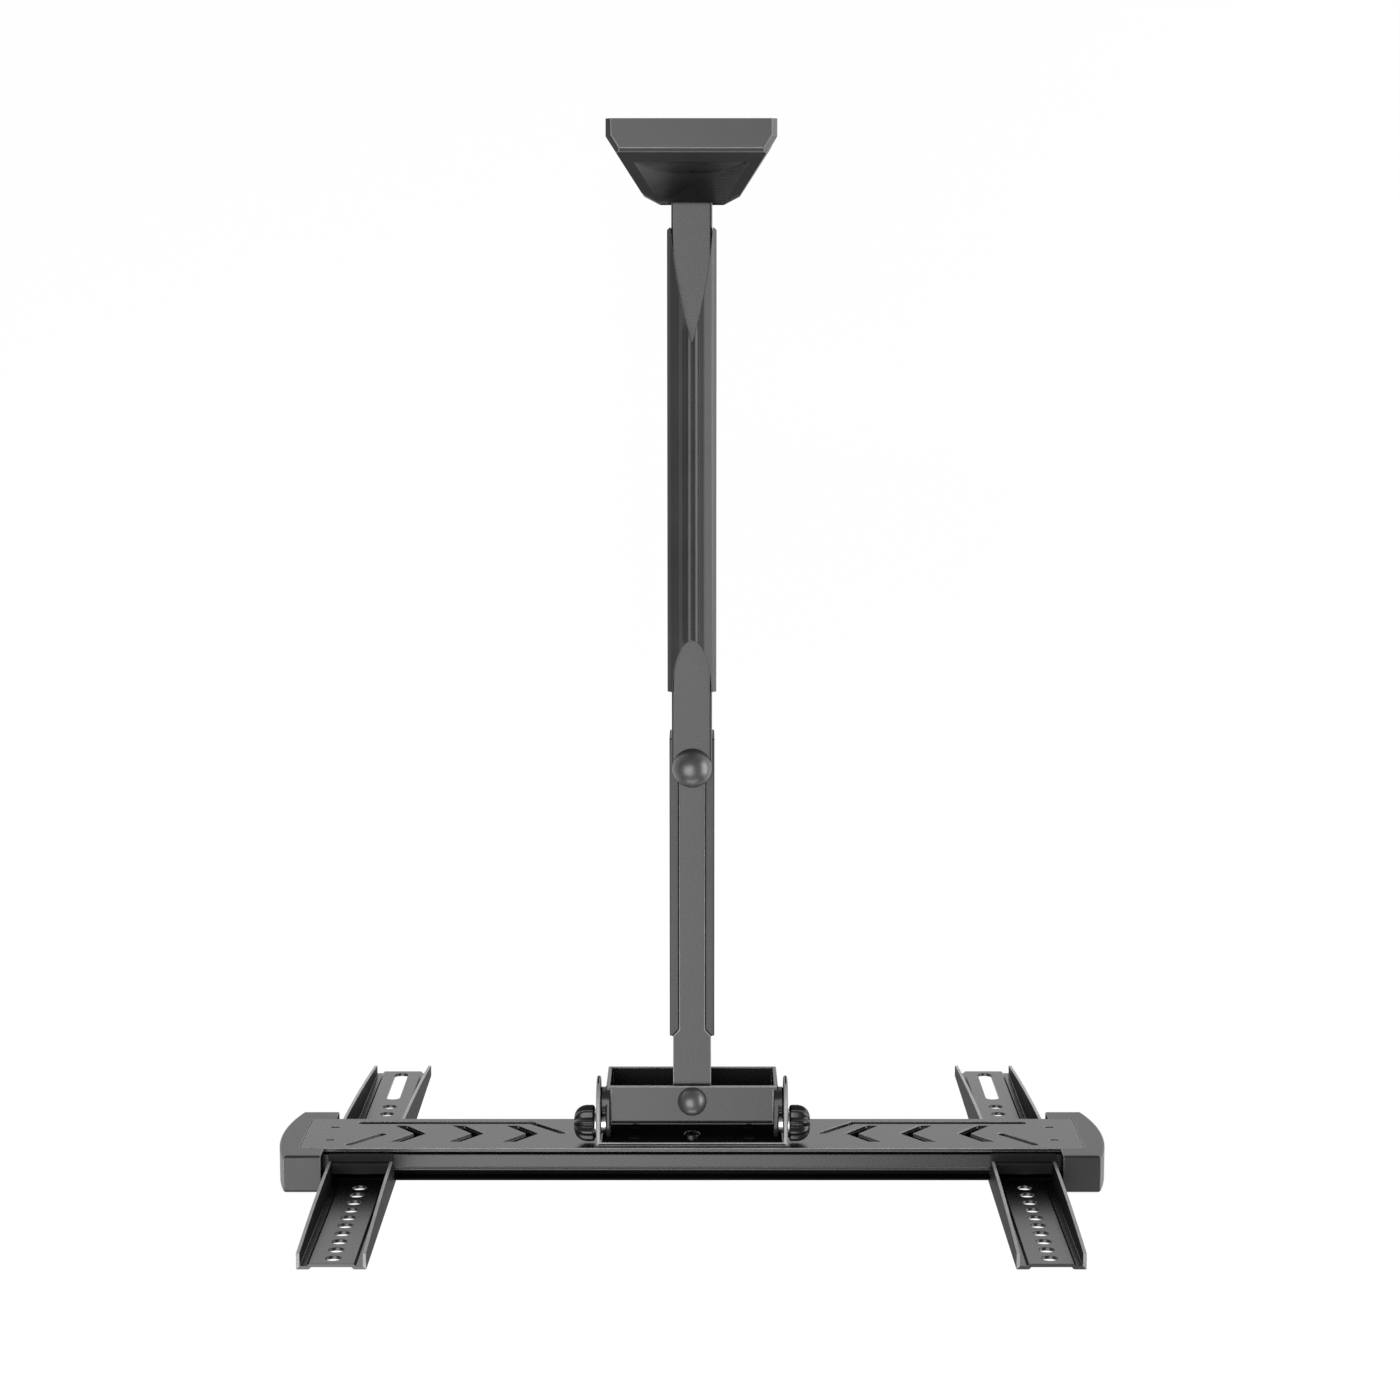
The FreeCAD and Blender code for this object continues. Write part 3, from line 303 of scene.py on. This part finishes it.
def softenEdges(node):
    # a merged copy of the node, with its sharp edges broken as paint and moulds break them
    piece = bpy.data.objects.new(node, frame["nodes"][node].data.copy())
    scene.collection.objects.link(piece)
    takeUp(piece)
    bpy.ops.mesh.customdata_custom_splitnormals_clear()
    bpy.ops.object.mode_set(mode="EDIT")
    bpy.ops.mesh.select_all(action="SELECT")
    bpy.ops.mesh.remove_doubles(threshold=edgeFinish["merge"] * mm)
    bpy.ops.mesh.dissolve_limited(angle_limit=math.radians(edgeFinish["flat"]))
    bpy.ops.object.mode_set(mode="OBJECT")
    dress(piece, node)
    if node in narrowFlats:
        weighEdges(piece, node)
    applyModifier(piece, "BEVEL", {
        "width": edgeWidths.get(node, edgeWidths["plain"]) * mm, "segments": edgeFinish["segments"],
        "limit_method": "WEIGHT" if node in narrowFlats else "ANGLE",
        "angle_limit": math.radians(edgeFinish["sharp"]), "use_clamp_overlap": False,
        "loop_slide": node in edgeFinish["slid"], "material": 1})
    bpy.ops.object.mode_set(mode="EDIT")
    bpy.ops.mesh.select_all(action="SELECT")
    bpy.ops.mesh.quads_convert_to_tris(quad_method="SHORTEST_DIAGONAL", ngon_method="CLIP")
    bpy.ops.mesh.dissolve_degenerate(threshold=edgeFinish["sliver"] * mm)
    bpy.ops.object.mode_set(mode="OBJECT")
    marks = [face.material_index for face in piece.data.polygons]
    settle(piece, node, edgeFinish["crease"])
    piece.data.polygons.foreach_set("material_index", marks)
    levelFlats(piece)
    return piece


def addRod(radius, first, last, sides=64):
    # a round bar between two places in mm, with its place in its mesh
    first, last = Vector(first), Vector(last)
    run = last - first
    bpy.ops.object.select_all(action="DESELECT")
    bpy.ops.mesh.primitive_cylinder_add(
        vertices=sides, radius=radius * mm, depth=run.length * mm, location=(first + last) / 2 * mm,
        rotation=run.to_track_quat("Z", "Y").to_euler())
    bpy.ops.object.transform_apply(location=True, rotation=True, scale=True)
    return bpy.context.active_object


def roundRims(piece, width, segments=3):
    takeUp(piece)
    applyModifier(piece, "BEVEL", {"width": width * mm, "segments": segments, "limit_method": "ANGLE",
                                   "angle_limit": math.radians(shading["rim"])})


def combine(piece, tool, operation):
    takeUp(piece)
    applyModifier(piece, "BOOLEAN", {"operation": operation, "object": tool, "solver": "MANIFOLD"})
    bpy.data.objects.remove(tool)


def selectCorners(piece, test):
    # into edit mode with the corners selected whose place in mm passes the test
    takeUp(piece)
    bpy.ops.object.mode_set(mode="EDIT")
    bpy.ops.mesh.select_mode(type="VERT")
    bpy.ops.mesh.select_all(action="DESELECT")
    bpy.ops.object.mode_set(mode="OBJECT")
    for corner in piece.data.vertices:
        corner.select = test(corner.co / mm)
    bpy.ops.object.mode_set(mode="EDIT")


def mirrorTo(piece, node):
    # the left-hand piece: a copy with its own mesh, turned over in X
    copy = bpy.data.objects.new(node, piece.data.copy())
    scene.collection.objects.link(copy)
    takeUp(copy)
    bpy.ops.object.mode_set(mode="EDIT")
    bpy.ops.mesh.select_all(action="SELECT")
    bpy.ops.transform.resize(value=(-1, 1, 1), center_override=(0, 0, 0))
    bpy.ops.mesh.normals_make_consistent(inside=False)
    bpy.ops.object.mode_set(mode="OBJECT")
    settle(copy, node)


# clamping knob: a lobed grip that domes over at its outer end, bored for its stud
# each dome ring is a share of the knob's length and of its radius
knobLook = {"lobes": 10, "steps": 10, "crest": 11.4, "valley": 9.3, "grip": 0.4, "rim": 1.4,
            "bore": 4.05, "boreStart": -0.4, "cap": 1.5, "foot": 0.1,
            "dome": ((0.58, 0.96), (0.74, 0.87), (0.87, 0.73), (0.96, 0.54), (1.0, 0.34))}
low, high = nodeBox("right_tilt_knob")
hubAxis = (low + high) / 2
knobLength = high.x - low.x


def onKnob(share):
    return (low.x + share * knobLength, hubAxis.y, hubAxis.z)


knob = addRod(knobLook["crest"], onKnob(0), onKnob(knobLook["grip"]), knobLook["lobes"] * knobLook["steps"])
for step in range(knobLook["steps"] // 2 + 1):
    def onStep(place):
        turn = math.atan2(place.z - hubAxis.z, place.y - hubAxis.y) / (2 * math.pi)
        phase = round(turn * knobLook["lobes"] * knobLook["steps"]) % knobLook["steps"]
        return min(phase, knobLook["steps"] - phase) == step
    swing = (1 + math.cos(2 * math.pi * step / knobLook["steps"])) / 2
    reach = (knobLook["valley"] + (knobLook["crest"] - knobLook["valley"]) * swing) / knobLook["crest"]
    selectCorners(knob, onStep)
    bpy.ops.transform.resize(value=(1, reach, reach), center_override=Vector(onKnob(0)) * mm)
    bpy.ops.object.mode_set(mode="OBJECT")
selectCorners(knob, lambda place: place.x > low.x + knobLook["foot"])
along, wide = knobLook["grip"], 1.0
for nextAlong, nextWide in knobLook["dome"]:
    bpy.ops.mesh.extrude_region_move(
        TRANSFORM_OT_translate={"value": ((nextAlong - along) * knobLength * mm, 0, 0)})
    bpy.ops.transform.resize(value=(1, nextWide / wide, nextWide / wide),
                             center_override=Vector(onKnob(nextAlong)) * mm)
    along, wide = nextAlong, nextWide
bpy.ops.object.mode_set(mode="OBJECT")
roundRims(knob, knobLook["rim"])
bore = addRod(knobLook["bore"], onKnob(knobLook["boreStart"]),
              (high.x - knobLook["cap"], hubAxis.y, hubAxis.z))
combine(knob, bore, "DIFFERENCE")
settle(knob, "right_tilt_knob")
mirrorTo(knob, "left_tilt_knob")
finished = ["right_tilt_knob", "left_tilt_knob"]
print("knobs:", len(knob.data.polygons), "faces each")

# lock nut: chamfered hexagon over a round collar, bored for its bolt
nutLook = {"body": 0.7, "trim": 0.985, "chamfer": 1.1, "collar": 0.84, "collarRound": 0.9, "slack": 0.05,
           "overlap": 1.0, "past": 2.0,
           "bores": {"wall_pivot_nut": 10.0, "elbow_nut": 10.0, "head_nut": 8.0}}
for node, bore in nutLook["bores"].items():
    low, high = nodeBox(node)
    middle = (low + high) / 2
    corner = (high.x - low.x) / 2
    flat = (high.y - low.y) / 2
    bodyEnd = high.z - (high.z - low.z) * nutLook["body"]

    def onBolt(z):
        return (middle.x, middle.y, z)
    bpy.ops.object.select_all(action="DESELECT")
    bpy.ops.mesh.primitive_cylinder_add(
        vertices=6, radius=corner * mm, depth=(high.z - bodyEnd) * mm, rotation=(0, 0, math.pi / 2),
        location=Vector(onBolt((high.z + bodyEnd) / 2)) * mm)
    bpy.ops.object.transform_apply(location=True, rotation=True, scale=True)
    nut = bpy.context.active_object
    turned = addRod(corner * nutLook["trim"], onBolt(bodyEnd), onBolt(high.z))
    roundRims(turned, nutLook["chamfer"], 1)
    combine(nut, turned, "INTERSECT")
    collar = addRod(flat * nutLook["collar"], onBolt(low.z), onBolt(bodyEnd + nutLook["overlap"]))
    roundRims(collar, nutLook["collarRound"])
    combine(nut, collar, "UNION")
    through = addRod(bore / 2 + nutLook["slack"], onBolt(low.z - nutLook["past"]),
                     onBolt(high.z + nutLook["past"]))
    combine(nut, through, "DIFFERENCE")
    settle(nut, node)
    finished.append(node)
print("lock nuts made")

# thumb screw: knurled head under the lock bracket, plain shank up into the slot
thumbLook = {"head": 8.0, "ridges": 36, "knurl": 0.3, "rim": 0.7, "shank": 2.0, "overlap": 1.0}
low, high = nodeBox("right_lock_screw")
middle = (low + high) / 2
grip = (high.x - low.x) / 2


def onThumb(z):
    return (middle.x, middle.y, z)


thumb = addRod(grip, onThumb(low.z), onThumb(low.z + thumbLook["head"]), 2 * thumbLook["ridges"])


def inValley(place):
    turn = math.atan2(place.y - middle.y, place.x - middle.x) / (2 * math.pi)
    return round(turn * 2 * thumbLook["ridges"]) % 2 == 1


selectCorners(thumb, inValley)
draw = 1 - thumbLook["knurl"] / grip
bpy.ops.transform.resize(value=(draw, draw, 1), center_override=Vector(onThumb(0)) * mm)
bpy.ops.object.mode_set(mode="OBJECT")
roundRims(thumb, thumbLook["rim"], 2)
shank = addRod(thumbLook["shank"], onThumb(low.z + thumbLook["overlap"]), onThumb(high.z))
combine(thumb, shank, "UNION")
settle(thumb, "right_lock_screw")
mirrorTo(thumb, "left_lock_screw")
finished += ["right_lock_screw", "left_lock_screw"]
print("thumb screws made")

pieces = {node: softenEdges(node) for node in nodeBody if node not in finished}
print("edges broken on", len(pieces), "pieces")


def remark(node, index, test):
    # another of the piece's materials on the faces whose place in mm and direction pass the test
    for face in pieces[node].data.polygons:
        if test(face.center / mm, face.normal):
            face.material_index = index


# the rails' flanges have a dry coat on their sides, and a pale painted highlight along the sheared free edge
flangeLook = {"wall": 2.0, "level": 0.3}
for node in ("left_rail", "right_rail"):
    low, high = nodeBox(node)

    def inFlange(place):
        return min(place.x - low.x, high.x - place.x) < flangeLook["wall"]
    remark(node, 0, lambda place, facing: not inFlange(place))
    remark(node, 2, lambda place, facing: inFlange(place) and abs(facing.x) > 1 - flangeLook["level"])
    remark(node, 1, lambda place, facing: inFlange(place) and abs(facing.x) < flangeLook["level"]
           and facing.y > -flangeLook["level"])
# the wall covers' front slope and its sunk panel take the darker, shineless spark ABS as painted shade
coverLook = {"slope": -0.75}
for node in ("upper_wall_cover", "lower_wall_cover"):
    remark(node, 2, lambda place, facing: facing.y < coverLook["slope"])
# the bar's faces past its groove keep the plain coat on their edges, and its groove, hook slots and channel
# take the darker matt coat, painted shade in those recesses; depths are from the bar's back and heights from
# its top, in mm
barLook = {"groove": (2.1, 4.1), "grooveHeight": (0.2, 3.8), "hookSlot": 14.3, "hookHeight": 13.0,
           "level": 0.5}
barBack, barTop = nodeBox("crossbar")[1].yz


def inBarSlot(place, facing):
    depth, height = barBack - place.y, barTop - abs(place.z)
    start, end = barLook["groove"]
    low, high = barLook["grooveHeight"]
    outward = math.copysign(facing.z, facing.z * place.z)  # below nought on a face that looks to mid-height
    inGroove = start < depth < end and low < height < high
    inHook = (depth > barLook["hookSlot"] and height < barLook["hookHeight"]
              and facing.y > -barLook["level"])
    inChannel = depth > start and outward < -barLook["level"]
    return inGroove or inHook or inChannel


remark("crossbar", 0, lambda place, facing: place.y < barBack - barLook["groove"][1])
remark("crossbar", 2, inBarSlot)
# the swivel bracket's cheeks keep the plain coat on their edges, without the pale painted highlight
cheekLook = {"start": 49.0}
remark("swivel_bracket", 0, lambda place, facing: abs(place.x) > cheekLook["start"])
# the tilt ears' sheared rims carry the pale painted highlight where they face up
earLook = {"wall": 3.5, "up": 0.5}
earSide = nodeBox("tilt_bracket")[1].x
remark("tilt_bracket", 1, lambda place, facing: abs(place.x) > earSide - earLook["wall"]
       and facing.z > earLook["up"])
# the pale rims are a painted highlight, and the dull areas of the crossbar and the wall covers are painted
# shade
print("dull areas and bare rims marked")

# a pale floor that glows to the camera, so that it shows nearly white, and a dim white world
stageLook = {"floorDrop": 0.45, "floorSize": 80.0, "white": "#fdfdfd", "keep": 0.86, "fill": 0.25}
low, high = cadBox
bpy.ops.object.select_all(action="DESELECT")
bpy.ops.mesh.primitive_plane_add(size=stageLook["floorSize"],
                                 location=(0, 0, low.z - stageLook["floorDrop"]))
floor = bpy.context.active_object
floor.name = "studio_floor"
floorMaterial, tree = newMaterial("paleFloor")
path = addNode(tree, "ShaderNodeLightPath")
seen = addNode(tree, "ShaderNodeMath", {"operation": "MAXIMUM"},
               {0: path.outputs["Is Camera Ray"], 1: path.outputs["Is Glossy Ray"]})
seen = addNode(tree, "ShaderNodeMath", {"operation": "MAXIMUM"},
               {0: seen.outputs[0], 1: path.outputs["Is Transmission Ray"]})
share = addNode(tree, "ShaderNodeMath", {"operation": "MULTIPLY"},
                {0: seen.outputs[0], 1: stageLook["keep"]})
matt = addNode(tree, "ShaderNodeBsdfDiffuse", None, {"Color": linear(stageLook["white"])})
glow = addNode(tree, "ShaderNodeEmission", None, {"Color": linear(stageLook["white"]), "Strength": 1.0})
mixed = addNode(tree, "ShaderNodeMixShader", None,
                {0: share.outputs[0], 1: matt.outputs[0], 2: glow.outputs[0]})
addNode(tree, "ShaderNodeOutputMaterial", None, {"Surface": mixed.outputs[0]})
floor.data.materials.append(floorMaterial)

world = bpy.data.worlds.new("studio")
scene.world = world
world.use_nodes = True
tree = world.node_tree
tree.nodes.clear()
back = addNode(tree, "ShaderNodeBackground", None,
               {"Color": linear(stageLook["white"]), "Strength": stageLook["fill"]})
addNode(tree, "ShaderNodeOutputWorld", None, {"Surface": back.outputs[0]})

# a softbox overhead to the left, an upright panel low on the right and one in front
lamps = {
    "softbox": {"place": (-1.05, -0.8, 2.5), "turn": (0, 0, 0), "size": (2.6, 2.6), "level": 4.1},
    "rightPanel": {"place": (1.7, -0.35, 0.35), "turn": (0, 90, 0), "size": (1.0, 1.7), "level": 5.0},
    "frontPanel": {"place": (0.0, -2.8, 0.5), "turn": (82, 0, 0), "size": (2.0, 0.7), "level": 3.5},
}
for name, lamp in lamps.items():
    light = bpy.data.lights.new(name, "AREA")
    light.shape = "RECTANGLE"
    light.size, light.size_y = lamp["size"]
    light.energy = lamp["level"] * math.pi * lamp["size"][0] * lamp["size"][1]  # watts for that radiance
    holder = bpy.data.objects.new(name, light)
    holder.location = lamp["place"]
    holder.rotation_euler = [math.radians(a) for a in lamp["turn"]]
    scene.collection.objects.link(holder)

camera = {"place": (0.0048, -0.087, 1.849), "tilt": -7.80, "lens": 79.6, "sensor": 36.0}
cameraData = bpy.data.cameras.new("photoCamera")
cameraData.lens = camera["lens"]
cameraData.sensor_width = camera["sensor"]
cameraObject = bpy.data.objects.new("photoCamera", cameraData)
cameraObject.location = camera["place"]
cameraObject.rotation_euler = (math.radians(camera["tilt"]), 0, 0)
scene.collection.objects.link(cameraObject)
scene.camera = cameraObject
print("stage, lamps and camera set")
